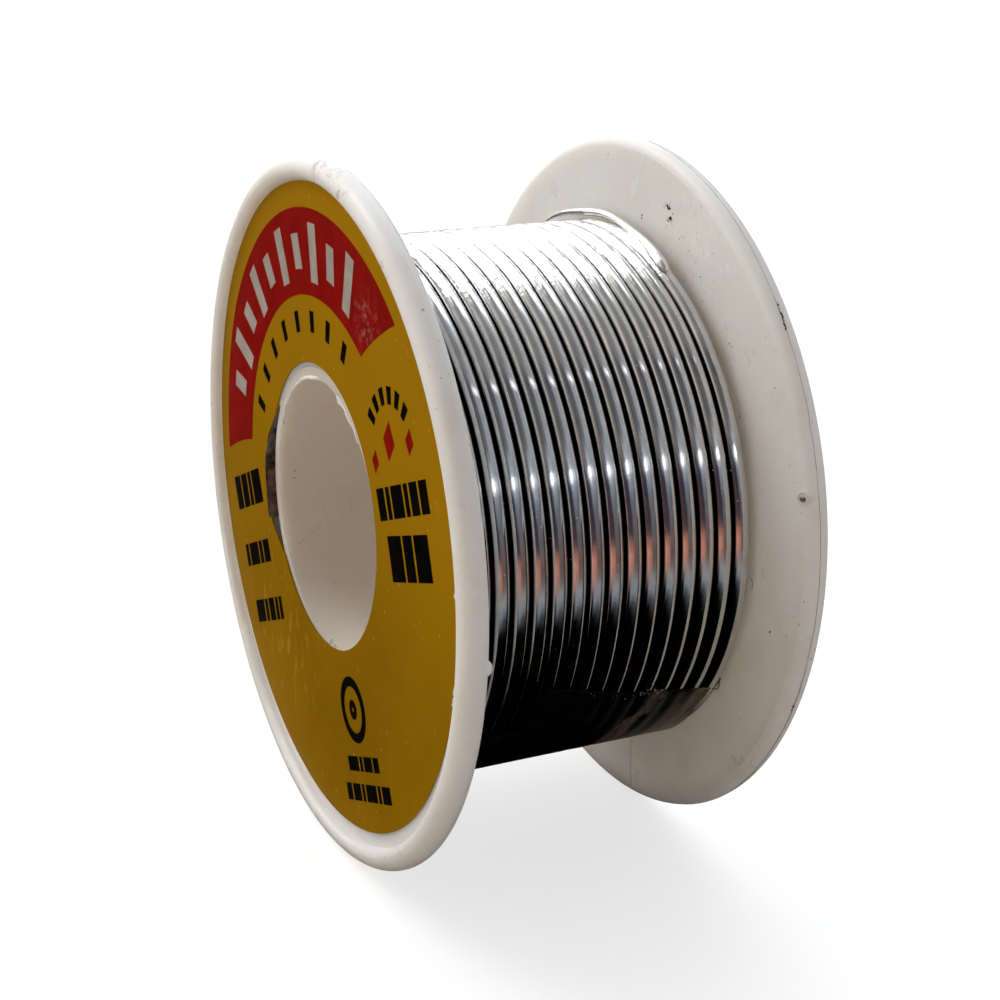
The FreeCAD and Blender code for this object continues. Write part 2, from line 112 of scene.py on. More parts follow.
def tube(name, path, half_sizes, around, cap_bulge=0.0):
    """A closed tube along path. half_sizes gives (away from the spool's axis, across) at each point."""
    path = np.array(path)
    points = []
    for i, p in enumerate(path):
        along = path[min(i + 1, len(path) - 1)] - path[max(i - 1, 0)]
        along /= np.linalg.norm(along)
        out = np.array([p[0], 0, p[2]])
        out -= along * (out @ along)
        out /= np.linalg.norm(out)
        across = np.cross(along, out)
        a_out, a_across = half_sizes(i)
        for j in range(around):
            t = 2 * math.pi * j / around
            points.append(p + out * a_out * math.cos(t) + across * a_across * math.sin(t))
    faces = grid_faces(len(path), around, wrap_cols=True)
    for end, row in ((0, 0), (1, len(path) - 1)):
        step = path[0] - path[1] if end == 0 else path[-1] - path[-2]
        step = step / np.linalg.norm(step) * cap_bulge
        centre = len(points)
        points.append(path[row] + step)
        for j in range(around):
            a, b = row * around + j, row * around + (j + 1) % around
            faces.append((a, b, centre) if end == 0 else (b, a, centre))
    return mesh_object(name, points, faces)


def lumps(name, items, seed):
    """Many small uneven grains in one mesh. Each item is (centre, half size) in mm."""
    r = random.Random(seed)
    points, faces = [], []
    rows, cols = 5, 8
    for centre, size in items:
        start = len(points)
        stretch = np.array([size * r.uniform(0.5, 1.2) for _ in range(3)])
        points.append(centre + np.array([0, 0, stretch[2]]))
        for i in range(1, rows):
            a = math.pi * i / rows
            for j in range(cols):
                b = 2 * math.pi * j / cols
                outward = np.array([math.sin(a) * math.cos(b), math.sin(a) * math.sin(b), math.cos(a)])
                points.append(centre + r.uniform(0.7, 1.1) * stretch * outward)
        points.append(centre - np.array([0, 0, stretch[2]]))
        last = len(points) - 1
        for j in range(cols):
            faces.append((start, start + 1 + (j + 1) % cols, start + 1 + j))
            faces.append((last, last - cols + j, last - cols + (j + 1) % cols))
        faces += grid_faces(rows - 1, cols, wrap_cols=True, start=start + 1)
    return mesh_object(name, points, faces)


def curve_through(knots, steps):
    """Points of a smooth curve through the knots."""
    knots = [np.array(k, dtype=float) for k in knots]
    fine = []
    for k in range(len(knots) - 1):
        p0, p1, p2, p3 = (knots[min(max(q, 0), len(knots) - 1)] for q in (k - 1, k, k + 1, k + 2))
        for q in range(steps):
            t = q / steps
            fine.append(0.5 * (2 * p1 + (p2 - p0) * t + (2 * p0 - 5 * p1 + 4 * p2 - p3) * t * t
                               + (3 * p1 - p0 - 3 * p2 + p3) * t ** 3))
    fine.append(knots[-1])
    return fine


# ------------ nodes

class Nodes:
    """A short way to write a material's node tree."""

    def __init__(self, name, world=False):
        if world:
            self.owner = bpy.data.worlds.new(name)
        else:
            self.owner = bpy.data.materials.new(name)
        self.owner.use_nodes = True
        self.tree = self.owner.node_tree
        self.tree.nodes.clear()

    def add(self, kind, **inputs):
        """_name sets a property, iN the input of that number, and any other key the input of that name."""
        node = self.tree.nodes.new("ShaderNode" + kind)
        for key, value in inputs.items():
            if key.startswith("_"):
                setattr(node, key[1:], value)
                continue
            by_number = key[0] == "i" and key[1:].isdigit()
            socket = node.inputs[int(key[1:]) if by_number else key.replace("__", " ")]
            if isinstance(value, bpy.types.NodeSocket):
                self.tree.links.new(value, socket)
            else:
                socket.default_value = value
        return node

    def link(self, out, node, key):
        self.tree.links.new(out, node.inputs[key])

    def math(self, op, a, b=0.0):
        return self.add("Math", _operation=op, i0=a, i1=b).outputs[0]

    def times(self, a, b):
        return self.math("MULTIPLY", a, b)

    def plus(self, a, b):
        return self.math("ADD", a, b)

    def minus(self, a, b):
        return self.math("SUBTRACT", a, b)

    def position(self):
        return self.add("TexCoord").outputs["Object"]

    def noise(self, vector, scale, detail=3.0, rough=0.55, distortion=0.0):
        node = self.add("TexNoise", Vector=vector, Scale=scale, Detail=detail, Roughness=rough)
        node.inputs["Distortion"].default_value = distortion
        return node.outputs["Fac"]

    def ramp(self, value, stops):
        node = self.add("ValToRGB", i0=value)
        ramp = node.color_ramp
        while len(ramp.elements) > 1:
            ramp.elements.remove(ramp.elements[-1])
        for k, (pos, colour) in enumerate(stops):
            e = ramp.elements[0] if k == 0 else ramp.elements.new(pos)
            e.position = pos
            e.color = (*colour, 1)
        return node.outputs["Color"]

    def grey(self, value, low, high, from_value=0.0, to_value=1.0):
        node = self.add("MapRange", Value=value)
        node.inputs["From Min"].default_value = low
        node.inputs["From Max"].default_value = high
        node.inputs["To Min"].default_value = from_value
        node.inputs["To Max"].default_value = to_value
        return node.outputs[0]

    def mix(self, factor, a, b, blend="MIX"):
        node = self.add("Mix", _data_type="RGBA", _blend_type=blend)
        for key, value in ((0, factor), (6, a), (7, b)):
            if isinstance(value, bpy.types.NodeSocket):
                self.tree.links.new(value, node.inputs[key])
            elif key == 0:
                node.inputs[0].default_value = value
            else:
                node.inputs[key].default_value = (*value, 1)
        return node.outputs[2]

    def bump(self, height, strength, distance, normal=None):
        node = self.add("Bump", Height=height, Strength=strength, Distance=distance)
        if normal is not None:
            self.tree.links.new(normal, node.inputs["Normal"])
        return node.outputs["Normal"]

    def cylinder(self):
        """Outputs (clock angle in radians, distance from the axis in metres, y in metres)."""
        split = self.add("SeparateXYZ", i0=self.position())
        x, y, z = split.outputs
        clock = self.math("ARCTAN2", z, x)
        radius = self.math("SQRT", self.plus(self.times(x, x), self.times(z, z)))
        return clock, radius, y

    def smooth(self, value, low, high):
        node = self.add("MapRange", _interpolation_type="SMOOTHSTEP", Value=value)
        node.inputs["From Min"].default_value = low
        node.inputs["From Max"].default_value = high
        return node.outputs[0]

    def near(self, where, centre, radius):
        """1 at the centre (mm), falling to 0 at the radius."""
        away = self.add("VectorMath", _operation="DISTANCE", i0=where, i1=tuple(c * MM for c in centre))
        return self.smooth(away.outputs["Value"], radius * MM, 0.2 * radius * MM)

    def vector(self, x, y, z):
        return self.add("CombineXYZ", i0=x, i1=y, i2=z).outputs[0]

    def principled(self, **inputs):
        shader = self.add("BsdfPrincipled", **inputs)
        out = self.add("OutputMaterial")
        self.tree.links.new(shader.outputs[0], out.inputs["Surface"])
        return shader


def give(obj, material):
    obj.data.materials.clear()
    obj.data.materials.append(material)


# ------------ materials

REAR_FACE = 12.575     # y of the rear flange's inner face, at the marks on it


def white_plastic(name, shade, glow, depth):
    """glow is the share of light that goes into the plastic, depth in mm how far it spreads there."""
    n = Nodes(name)
    where = n.position()
    clouds = n.noise(where, 90, 4)
    colour = n.mix(n.grey(clouds, 0.35, 0.7), (0.86, 0.855, 0.845), (0.92, 0.92, 0.91))
    stain = n.noise(where, 210, 5, 0.65)
    colour = n.mix(n.grey(stain, 0.52, 0.75, 0.0, 0.35), colour, (0.74, 0.67, 0.60))
    colour = n.mix(1.0, colour, shade, "MULTIPLY")
    grain = n.noise(where, 2200, 3)
    wave = n.noise(where, 130, 2)
    normal = n.bump(wave, 0.25, 0.0004)
    normal = n.bump(grain, 0.12, 0.00003, normal)
    # pin specks of dirt, about 0.1 mm and 0.2 mm across
    for scale, size, share in ((1250, 0.085, 0.50), (640, 0.075, 0.60)):
        cell = n.add("TexVoronoi", Vector=where, Scale=scale).outputs
        pick = n.grey(n.add("SeparateXYZ", i0=cell["Color"]).outputs[0], share, share + 0.02)
        speck = n.times(n.grey(cell["Distance"], size, size * 0.4), pick)
        colour = n.mix(n.times(speck, 0.75), colour, (0.17, 0.12, 0.09))
    # the cluster of burnt flecks on the rear flange's inner face, and pale streaks there, partly scuffs and partly a
    # painted gloss highlight
    cell = n.add("TexVoronoi", Vector=where, Scale=2300).outputs["Distance"]
    burnt = n.times(n.near(where, (7.87, REAR_FACE, 23.2), 1.5), n.grey(cell, 0.42, 0.24))
    colour = n.mix(n.times(burnt, n.grey(n.noise(where, 1100, 2), 0.46, 0.56)), colour, (0.10, 0.07, 0.05))
    streak = n.noise(n.add("Mapping", i0=where, Scale=(1.0, 1.0, 0.25)).outputs[0], 2600, 2)
    for centre in ((13.76, REAR_FACE, 21.43), (15.6, REAR_FACE, 20.2), (9.6, REAR_FACE, 24.1), (2.4, REAR_FACE, 24.6)):
        scuff = n.times(n.near(where, centre, 1.3), n.grey(streak, 0.52, 0.62))
        colour = n.mix(scuff, colour, (0.97, 0.96, 0.95))
    # brown dust round the burnt cluster
    dust = n.grey(n.noise(where, 1900, 3, 0.7), 0.60, 0.68)
    dust = n.times(n.near(where, (11.5, REAR_FACE, 20.5), 6.5), dust)
    colour = n.mix(n.times(dust, 0.55), colour, (0.34, 0.26, 0.19))
    # smudges on the top of the front rim
    for centre, radius in (((2.3, -14.3, 27.9), 1.5), ((4.9, -14.4, 27.2), 1.6), ((7.4, -14.4, 26.5), 1.3)):
        smudge = n.times(n.near(where, centre, radius), n.grey(n.noise(where, 750, 4, 0.7), 0.48, 0.62))
        colour = n.mix(n.times(smudge, 0.8), colour, (0.30, 0.26, 0.23))
    rough = n.grey(n.noise(where, 300, 3), 0.3, 0.7, 0.26, 0.42)
    n.principled(Base__Color=colour, Roughness=rough, Normal=normal, Subsurface__Weight=glow,
                 Subsurface__Radius=(1.0, 0.82, 0.64), Subsurface__Scale=depth * MM)
    return n.owner


def solder_metal():
    """Bright drawn wire, with painted shade in the grooves between its turns."""
    n = Nodes("solder_metal")
    clock, radius, y = n.cylinder()
    where = n.position()
    # fine drawn lines run along the wire, which here is nearly the clock direction
    along = n.vector(n.times(clock, 0.004), y, radius)
    lines = n.noise(along, 9000, 2)
    blotch = n.noise(where, 700, 4)
    colour = n.mix(n.grey(blotch, 0.35, 0.7), (0.60, 0.60, 0.61), (0.71, 0.71, 0.71))
    # painted shade in the grooves between the turns: near black, dark grey on the upper turns
    reach = n.plus(n.grey(clock, -0.50, -0.12, 0.02171, 0.02151), n.grey(clock, 0.45, 1.05, 0.0, -0.00015))
    lower_front = n.times(n.grey(y, -0.010, -0.005, -0.00016, 0.0), n.grey(clock, -0.25, -0.45))
    reach = n.plus(reach, lower_front)
    groove_shade = n.smooth(n.minus(radius, reach), 0.00006, -0.00006)
    groove_shade_colour = n.mix(n.grey(clock, 0.7, 1.2), (0.006, 0.005, 0.0045), (0.11, 0.10, 0.095))
    colour = n.mix(groove_shade, colour, groove_shade_colour)
    # grit on the film, as pale pin points
    cell = n.add("TexVoronoi", Vector=where, Scale=1500).outputs
    pick = n.grey(n.add("SeparateXYZ", i0=cell["Color"]).outputs[0], 0.62, 0.64)
    pick = n.times(pick, n.grey(clock, -0.2, 0.1, 0.1, 0.75))
    grit = n.times(n.grey(cell["Distance"], 0.12, 0.05), pick)
    colour = n.mix(grit, colour, (0.85, 0.85, 0.85))
    rough = n.grey(n.noise(where, 1300, 3), 0.3, 0.7, 0.055, 0.12)
    normal = n.bump(lines, 0.10, 0.00002)
    normal = n.bump(n.noise(where, 900, 3), 0.10, 0.00005, normal)
    # the film lies wrinkled on the upper turns
    top = n.smooth(clock, math.radians(175), math.radians(140))
    top = n.times(n.smooth(clock, math.radians(55), math.radians(72)), top)
    cling = n.noise(n.vector(n.times(clock, 0.010), n.times(y, 1.3), radius), 620, 3, 0.6, 0.8)
    normal = n.bump(cling, n.times(top, 0.55), 0.0004, normal)
    n.principled(Base__Color=colour, Metallic=n.minus(1.0, grit), Roughness=rough, Normal=normal)
    return n.owner


def tarnished_tail():
    """The dull brown start of the wire."""
    n = Nodes("tarnished_tail")
    where = n.position()
    blotch = n.noise(where, 900, 4)
    colour = n.mix(n.grey(blotch, 0.35, 0.65), (0.020, 0.013, 0.010), (0.19, 0.13, 0.10))
    normal = n.bump(n.noise(where, 1500, 3), 0.3, 0.00008)
    n.principled(Base__Color=colour, Metallic=0.7, Roughness=n.grey(blotch, 0.3, 0.7, 0.60, 0.32), Normal=normal)
    return n.owner


def label_stock():
    """The label's yellow."""
    n = Nodes("label_stock")
    where = n.position()
    clouds = n.noise(where, 60, 3)
    colour = n.mix(n.grey(clouds, 0.3, 0.7), (0.235, 0.120, 0.0), (0.325, 0.168, 0.0))
    # painted light: brighter and more golden toward its top
    upward = n.grey(n.add("SeparateXYZ", i0=where).outputs[2], -0.016, 0.025)
    colour = n.mix(n.times(upward, 0.8), colour, (0.415, 0.212, 0.0))
    glints = n.add("TexVoronoi", Vector=where, Scale=700).outputs["Distance"]
    colour = n.mix(n.grey(glints, 0.12, 0.04, 0.0, 0.6), colour, (0.62, 0.42, 0.03))
    # small creases, painted as pale sheen where they catch the light, more of them at the lower left
    crease = n.noise(n.add("Mapping", i0=where, Scale=(1.0, 1.0, 0.45)).outputs[0], 800, 4, 0.65)
    crease_sheen = n.times(n.grey(crease, 0.56, 0.66), n.near(where, (-11.0, -13.8, -14.0), 11.0))
    colour = n.mix(n.times(crease_sheen, 0.45), colour, (0.50, 0.34, 0.06))
    crinkle = n.noise(where, 420, 4, 0.6)
    normal = n.bump(crinkle, 0.25, 0.00010)
    n.principled(Base__Color=colour, Roughness=0.42, Normal=normal, Specular__IOR__Level=0.02)
    return n.owner


def print_ink(name, dark, light, roughness, scuff=None):
    """Ink or another opaque material, mottled between two colours. scuff is the middle of a rubbed spot."""
    n = Nodes(name)
    where = n.position()
    colour = n.mix(n.grey(n.noise(where, 500, 4), 0.35, 0.7), dark, light)
    if scuff:
        rubbed = n.times(n.near(where, scuff, 3.4), n.grey(n.noise(where, 1300, 4, 0.7), 0.50, 0.70))
        colour = n.mix(n.times(rubbed, 0.7), colour, (0.42, 0.22, 0.20))
    normal = n.bump(n.noise(where, 420, 4, 0.6), 0.2, 0.00008)
    n.principled(Base__Color=colour, Roughness=roughness, Normal=normal, Specular__IOR__Level=0.02)
    return n.owner


def film_material(name, dark, light, alpha_low, alpha_high, roughness, crumple, metallic=0.0):
    """Film that is gathered or torn, and so can be seen."""
    n = Nodes(name)
    where = n.position()
    normal = n.bump(n.noise(where, 420, 3, 0.5, 0.4), crumple, 0.0003)
    patches = n.noise(where, 260, 3)
    colour = n.mix(n.grey(patches, 0.3, 0.7), dark, light)
    edge = n.add("LayerWeight", Blend=0.35).outputs["Facing"]
    edge = n.grey(edge, 0.55, 1.0, 0.0, alpha_high * 1.8)
    alpha = n.math("MAXIMUM", n.grey(patches, 0.35, 0.7, alpha_low, alpha_high), edge)
    n.principled(Base__Color=colour, Roughness=roughness, Normal=normal, Alpha=alpha, Metallic=metallic)
    return n.owner


def film_wrap():
    """Clear film: nearly unseen where it lies tight; below its cut edge, where it hangs loose, painted near black as
    shade, with brown and olive tones.
    """
    n = Nodes("clear_film")
    clock, radius, y = n.cylinder()
    where = n.position()
    clock = n.times(clock, DEGREES)
    normal = n.bump(n.noise(where, 420, 3, 0.5, 0.4), 0.25, 0.0003)
    patches = n.noise(where, 260, 3)
    ragged = n.plus(clock, n.grey(n.noise(where, 900, 3), 0.3, 0.7, -0.8, 0.8))
    low = n.times(n.smooth(ragged, -23.0, -23.6), n.smooth(clock, -150, -120))
    # seen through it near the rear flange: a brown streak and an olive edge, which join farther down
    down = n.grey(clock, -31, -46, 0.0, 1.0)
    wander = n.grey(n.noise(where, 500, 3), 0.3, 0.7, -0.0004, 0.0004)
    middle = n.minus(0.0066, n.times(n.times(down, down), 0.0012))
    off = n.math("ABSOLUTE", n.minus(n.plus(y, wander), middle))
    wide = n.grey(down, 0.0, 1.3, 0.00034, 0.0009)
    streak = n.smooth(n.math("DIVIDE", off, wide), 1.25, 0.75)
    olive = n.smooth(n.plus(y, n.plus(wander, n.times(down, 0.0014))), 0.0098, 0.0116)
    fibre = n.noise(n.vector(n.times(clock, 0.00006), y, radius), 4200, 3)
    brown = n.mix(n.grey(fibre, 0.35, 0.65), (0.050, 0.037, 0.026), (0.15, 0.12, 0.09))
    olive_tone = n.mix(n.grey(fibre, 0.35, 0.65), (0.11, 0.09, 0.06), (0.23, 0.20, 0.145))
    # where the film hangs loose it is painted near black: painted shade
    dark = n.mix(streak, (0.003, 0.003, 0.003), brown)
    dark = n.mix(olive, dark, olive_tone)
    colour = n.mix(low, n.mix(n.grey(patches, 0.3, 0.7), (0.30, 0.28, 0.25), (0.50, 0.48, 0.45)), dark)
    edge = n.add("LayerWeight", Blend=0.35).outputs["Facing"]
    tight = n.math("MAXIMUM", n.grey(patches, 0.35, 0.7, 0.02, 0.10), n.grey(edge, 0.55, 1.0, 0.0, 0.16))
    # the film's other side fades in behind the top of the spool
    tight = n.times(tight, n.math("MAXIMUM", n.smooth(clock, 64, 100), n.smooth(clock, 0, -1)))
    loose = n.minus(0.86, n.times(n.math("MAXIMUM", streak, olive), 0.16))
    alpha = n.add("Mix", _data_type="FLOAT", i0=low, i2=tight, i3=loose).outputs[0]
    shine = n.grey(low, 0.0, 1.0, 0.5, 0.06)
    rough = n.grey(low, 0.0, 1.0, 0.12, 0.35)
    n.principled(Base__Color=colour, Roughness=rough, Normal=normal, Alpha=alpha, Specular__IOR__Level=shine)
    return n.owner


WHITE = white_plastic("white_plastic", (1.0, 0.985, 0.965), 0.62, 2.8)
# the rear flange's copy of the same plastic: a warmer tint, which is painted light, and more glow reaching deeper, to
# brighten its shaded inner face
REAR_WHITE_BRIGHTENED = white_plastic("white_plastic_rear_brightened", (1.0, 0.975, 0.945), 0.80, 3.8)
# the hub's copy of the same plastic, darker and warmer: painted shade of the bore's inside
BORE_WHITE_SHADED = white_plastic("white_plastic_hub_shaded", (0.90, 0.81, 0.715), 0.55, 2.5)
SOLDER = solder_metal()
TAIL = tarnished_tail()
YELLOW = label_stock()
RED_INK = print_ink("ink_red", (0.23, 0.003, 0.0015), (0.30, 0.006, 0.003), 0.40, scuff=(10.2, -13.8, 17.6))
BLACK_INK = print_ink("ink_black", (0.002, 0.002, 0.002), (0.006, 0.005, 0.004), 0.35)
PALE_INK = print_ink("ink_pale", (0.36, 0.315, 0.285), (0.46, 0.41, 0.38), 0.36)
FILM = film_wrap()
FILM_MARGIN = film_material("clear_film_margin", (0.13, 0.105, 0.07), (0.24, 0.205, 0.145), 0.55, 0.80, 0.30, 0.3)
FILM_BUNCH = film_material("clear_film_bunched", (0.90, 0.89, 0.87), (0.98, 0.98, 0.97), 0.80, 0.98, 0.22, 0.55, 0.8)
FILM_TORN = film_material("clear_film_torn", (0.20, 0.15, 0.08), (0.34, 0.27, 0.17), 0.80, 0.95, 0.25, 0.3)
CRUMBS = print_ink("film_crumbs", (0.04, 0.032, 0.024), (0.50, 0.44, 0.36), 0.4)
MOULD_LINE_SHADE_AND_GRIME = print_ink("mould_line_shade_and_grime", (0.38, 0.33, 0.29), (0.68, 0.63, 0.58), 0.5)
TORN = print_ink("torn_plastic", (0.88, 0.88, 0.87), (0.98, 0.98, 0.97), 0.25)
BURNT = print_ink("burnt_flecks", (0.07, 0.045, 0.03), (0.16, 0.11, 0.07), 0.6)
CRATER_WHITE = white_plastic("white_plastic_crater", (1.0, 0.97, 0.94), 0.3, 0.15)
CRATER_BROWN = print_ink("crater_brown", (0.20, 0.145, 0.10), (0.36, 0.29, 0.22), 0.5)

for node, material in (("front_flange", WHITE), ("rear_flange", REAR_WHITE_BRIGHTENED), ("hub", BORE_WHITE_SHADED)):
    give(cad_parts[node], material)


# ------------ winding

WIRE = 0.75            # half of the 1.5 mm wire
PITCH = 1.533
OUTER = 21.04          # helix of the outer layer, at the middle of the wire
DRUM = 19.0
INNER_SQUASH = 0.645   # the lower layer's half height where the upper one presses on it
INNER_START = -11.525  # y of the lower layer's first turn, at the front
ENTRY_CLOCK = 118.0
CLIMB_CLOCK = -75.0    # where the wire climbs to the outer layer, at the rear
CLIMB = 24             # degrees that the climb takes
CLIMB_STEPS = 12
OUTER_START = 11.819   # y of the outer layer's first turn
OUTER_TURNS = 15.36
STEP = 2.25            # degrees between stations


def winding():
    """The wire's path and its half height at each point."""
    sway = wobble(11, 7, 2.0, 9.0)
    slow = wobble(12, 6, 0.4, 1.6)
    path, squash = [], []
    # the lower layer, from the wire's entry at the front to the climb, the same way round as the outer layer
    inner_turns = 15.0 + ((CLIMB_CLOCK - ENTRY_CLOCK) % 360.0) / 360.0
    count = int(inner_turns * 360 / (STEP * 2))
    for k in range(count + 1):
        t = k / count
        clock = CLIMB_CLOCK - (1 - t) * inner_turns * 360
        y = INNER_START + (OUTER_START - INNER_START) * t
        radius = DRUM + INNER_SQUASH
        path.append(polar(radius, clock, y))
        squash.append(INNER_SQUASH)
    for k in range(1, CLIMB_STEPS + 1):
        t = k / CLIMB_STEPS
        r = DRUM + INNER_SQUASH + (OUTER - DRUM - INNER_SQUASH) * smooth_step(0, 1, t)
        path.append(polar(r, CLIMB_CLOCK + CLIMB * t, OUTER_START))
        squash.append(INNER_SQUASH + (WIRE - INNER_SQUASH) * smooth_step(0, 1, t))
    total = OUTER_TURNS * 360
    steps = int((total - CLIMB) / STEP)
    for k in range(1, steps + 1):
        swept = CLIMB + (total - CLIMB) * k / steps
        clock = CLIMB_CLOCK + swept
        a = math.radians(swept)
        r = OUTER + 0.020 * sway(a) * smooth_step(0, 60, total - swept)
        y = OUTER_START - PITCH * swept / 360 + 0.010 * slow(a * 1.7 + 3)
        path.append(polar(r, clock, y))
        squash.append(WIRE)
    return path, squash


wire_path, wire_squash = winding()
wire = tube("solder_winding", wire_path, lambda i: (wire_squash[i], WIRE), 24, cap_bulge=0.1)
give(wire, SOLDER)
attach(wire, BODY)
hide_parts("solder_inner_layer", "solder_outer_layer", "outer_layer_flux")

give(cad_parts["solder_start_tail"], TAIL)
give(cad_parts["start_tail_flux"], TAIL)

# ------------ label

LABEL_X, LABEL_Z = -0.35, 0.42
LABEL_OUT = 26.02
LABEL_HOLE = 11.64
HOLE_X, HOLE_Z = -0.5, 0.62
NOTCH = 13.7
NOTCH_CLOCKS = (145.0, 170.0, 194.0, 220.0)   # the label's edge swings out round the tail and back
label_low, label_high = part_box("front_label")
LABEL_FRONT = label_low.y / MM
LABEL_BACK = label_high.y / MM
lift_a = wobble(21, 6, 0.10, 0.32)
lift_b = wobble(22, 6, 0.10, 0.32)


def label_lift(x, z):
    """How far the label stands off its seat at a point, in mm."""
    return 0.022 * (1 + lift_a(x * 2 + z)) + 0.022 * (1 + lift_b(z * 2 - x))


def label_hole(clock):
    """Radius of the label's inner edge."""
    a = math.radians(clock)
    across = HOLE_X * math.sin(a) - HOLE_Z * math.cos(a)
    hole = HOLE_X * math.cos(a) + HOLE_Z * math.sin(a) + math.sqrt(LABEL_HOLE ** 2 - across ** 2)
    start, full, ease, end = NOTCH_CLOCKS
    inside = smooth_step(start, full, clock % 360) * (1 - smooth_step(ease, end, clock % 360))
    return hole + (NOTCH - hole) * inside ** 1.5


def make_label():
    rows, cols = 28, 360
    points = []
    for side in (0, 1):
        for i in range(rows):
            for j in range(cols):
                clock = 360.0 * j / cols
                a = math.radians(clock)
                r_in = label_hole(clock)
                # the outer edge keeps inside the recess although the label sits off centre
                r = r_in + (LABEL_OUT - r_in) * i / (rows - 1)
                share = (r - r_in) / (LABEL_OUT - r_in)
                x = r * math.cos(a) + LABEL_X * share
                z = r * math.sin(a) + LABEL_Z * share
                y = (LABEL_FRONT if side == 0 else LABEL_BACK) - label_lift(x, z)
                points.append((x, y, z))
    faces = grid_faces(rows, cols, wrap_cols=True)
    base = rows * cols
    faces += [tuple(reversed(f)) for f in grid_faces(rows, cols, wrap_cols=True, start=base)]
    for i in (0, rows - 1):
        for j in range(cols):
            a, b = i * cols + j, i * cols + (j + 1) % cols
            quad = (a, b, base + b, base + a)
            faces.append(quad if i == rows - 1 else tuple(reversed(quad)))
    return mesh_object("front_label_disc", points, faces, smooth=False)


label = make_label()
give(label, YELLOW)
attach(label, BODY)
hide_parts("front_label")

INK = 0.018   # thickness of the print


class Prints:
    """Thin closed shapes on the label, all of one ink."""

    def __init__(self, level=1):
        self.points, self.faces = [], []
        self.level = level   # 2 is printed over 1

    def sheet(self, grid):
        """grid[i][j] is an (x, z) point. Makes one closed thin plate."""
        rows, cols = len(grid), len(grid[0])
        start = len(self.points)
        for side in (0, 1):
            for row in grid:
                for x, z in row:
                    y = LABEL_FRONT - label_lift(x, z) - (INK * self.level if side == 0 else -0.01)
                    self.points.append((x, y, z))
        self.faces += plate_faces(rows, cols, start)

    def quad(self, corners, n=4):
        """corners in order round the shape."""
        a, b, c, d = (np.array(p) for p in corners)
        steps = np.linspace(0, 1, n)
        self.sheet([[tuple((a * (1 - s) + b * s) * (1 - t) + (d * (1 - s) + c * s) * t) for s in steps] for t in steps])

    def arc(self, r_in, r_out, clocks_in, clocks_out, rows, cols, x0=LABEL_X, z0=LABEL_Z):
        """A piece of a ring. clocks_in and clocks_out are its two ends on the inner and the outer arc."""
        grid = []
        for i in range(rows):
            s = i / (rows - 1)
            r = r_in + (r_out - r_in) * s
            c0 = clocks_in[0] + (clocks_out[0] - clocks_in[0]) * s
            c1 = clocks_in[1] + (clocks_out[1] - clocks_in[1]) * s
            angles = [math.radians(c0 + (c1 - c0) * j / (cols - 1)) for j in range(cols)]
            grid.append([(x0 + r * math.cos(a), z0 + r * math.sin(a)) for a in angles])
        self.sheet(grid)

    def dashes(self, centre, length, height, turn, widths, gap=0.35, slant=0.0):
        """A row of upright dashes of the given relative widths, filling length."""
        c, s = math.cos(math.radians(turn)), math.sin(math.radians(turn))
        unit = (length - gap * (len(widths) - 1)) / sum(widths)
        x = -length / 2
        for w in widths:
            x2 = x + w * unit
            low, high = -height / 2, height / 2
            local = [(x - slant, low), (x2 - slant, low), (x2 + slant, high), (x + slant, high)]
            self.quad([(centre[0] + u * c - v * s, centre[1] + u * s + v * c) for u, v in local], 3)
            x = x2 + gap

    def build(self, name, material):
        obj = mesh_object(name, self.points, self.faces, smooth=False)
        give(obj, material)
        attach(obj, BODY)
        return obj


red = Prints()
red.arc(17.2, 24.0, (57.5, 175.0), (49.0, 182.5), 12, 150)
for x, z, size in ((11.4, 7.6, 0.9), (14.0, 9.8, 1.5), (17.7, 10.7, 1.0)):
    red.quad([(x - size * 0.7, z), (x, z - size), (x + size * 0.7, z), (x, z + size)], 3)
red.build("label_print_red", RED_INK)

pale = Prints(2)
for k in range(10):
    mid = 70.0 + 10.3 * k
    inner, outer = (18.3, 22.9) if k % 2 == 0 else (19.2, 22.0)
    pale.arc(inner, outer, (mid - 2.6, mid + 2.0), (mid - 1.1, mid + 2.9), 6, 5)
pale.build("label_print_pale", PALE_INK)

black = Prints()
for k in range(8):
    mid = 68 + k * 13.0
    black.arc(14.3, 16.0, (mid - 1.6, mid + 1.6), (mid - 1.6, mid + 1.6), 3, 4)
for k in range(6):
    mid = 59 + k * 19.0
    black.arc(3.6, 4.9, (mid - 5, mid + 5), (mid - 5, mid + 5), 3, 4, x0=14.6, z0=9.0)
black.dashes((16.3, 6.0), 9.6, 2.4, 20, (2, 1, 3, 1, 2, 2))
black.dashes((17.5, 2.0), 7.6, 3.4, 18, (3, 2, 3))
black.dashes((-19.2, -3.2), 7.6, 3.0, 22, (2, 2, 1, 3))
black.dashes((-17.2, -8.6), 7.0, 2.0, 22, (1, 3, 1, 2))
black.dashes((-14.5, -13.1), 7.6, 2.0, 22, (3, 1, 2, 1, 1))
black.arc(1.9, 2.7, (0, 359.9), (0, 359.9), 3, 60, x0=5.6, z0=-14.6)
black.arc(0.2, 0.8, (0, 359.9), (0, 359.9), 3, 30, x0=5.6, z0=-14.6)
black.dashes((7.6, -18.5), 7.0, 1.2, 22, (4, 1, 3, 2))
black.dashes((8.6, -20.6), 10.0, 1.4, 22, (2, 3, 1, 4, 1, 3))
black.build("label_print_black", BLACK_INK)


# ------------ film

